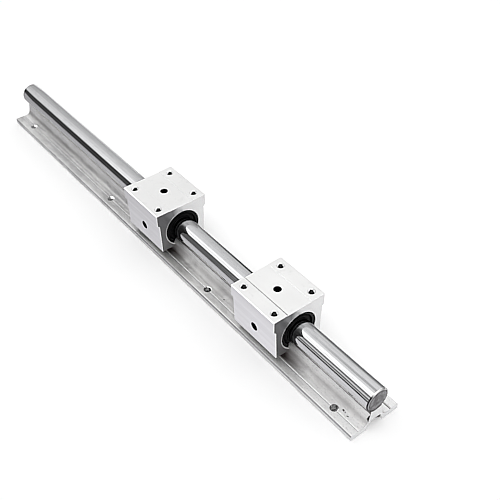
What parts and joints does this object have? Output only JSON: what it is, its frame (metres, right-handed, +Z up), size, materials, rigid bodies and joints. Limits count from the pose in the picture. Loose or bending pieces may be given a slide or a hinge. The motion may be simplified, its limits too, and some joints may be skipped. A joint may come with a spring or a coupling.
{
  "type": "supported round rail",
  "caption": "Round linear guide rail on an extruded aluminium support, with open bearing blocks that slide along the ground steel shaft.",
  "frame": {"origin": "middle of the rail's length and width, on the base plane that is bolted down", "axes": "+X along the shaft, +Y across the rail, +Z up from the base towards the blocks' mounting faces"},
  "size_m": [0.5, 0.048, 0.05],
  "materials": {
    "ground_shaft": "ground and hard chromed, mirror bright",
    "support_extrusion": "extruded, clear anodised, fine die lines along the length",
    "block_aluminium": "milled and clear anodised, satin",
    "bearing_steel": "ground bearing steel",
    "cage_plastic": "matte black",
    "seal_rubber": "black nitrile rubber, satin",
    "blackened_steel": "black oxide",
    "zinc_screw": "zinc plated"
  },
  "bodies": {
    "rail": {"shaft": "ground_shaft", "shaft_support": "support_extrusion", "shaft_screw_1": "zinc_screw", "shaft_screw_2": "zinc_screw", "shaft_screw_3": "zinc_screw", "shaft_screw_4": "zinc_screw"},
    "rear_block": {"rear_block_housing": "block_aluminium", "rear_bearing_sleeve": "bearing_steel", "rear_ball_cage": "cage_plastic", "rear_seal_a": "seal_rubber", "rear_seal_b": "seal_rubber", "rear_retaining_ring_a": "blackened_steel", "rear_retaining_ring_b": "blackened_steel", "rear_set_screw": "blackened_steel"},
    "front_block": {"front_block_housing": "block_aluminium", "front_bearing_sleeve": "bearing_steel", "front_ball_cage": "cage_plastic", "front_seal_a": "seal_rubber", "front_seal_b": "seal_rubber", "front_retaining_ring_a": "blackened_steel", "front_retaining_ring_b": "blackened_steel", "front_set_screw": "blackened_steel"}
  },
  "joints": [
    {"name": "rear_block_slide", "type": "slide", "parent": "rail", "child": "rear_block", "axis": [1, 0, 0], "range_m": [-0.221, 0.04875]},
    {"name": "front_block_slide", "type": "slide", "parent": "rail", "child": "front_block", "axis": [1, 0, 0], "range_m": [-0.04875, 0.081]}
  ]
}
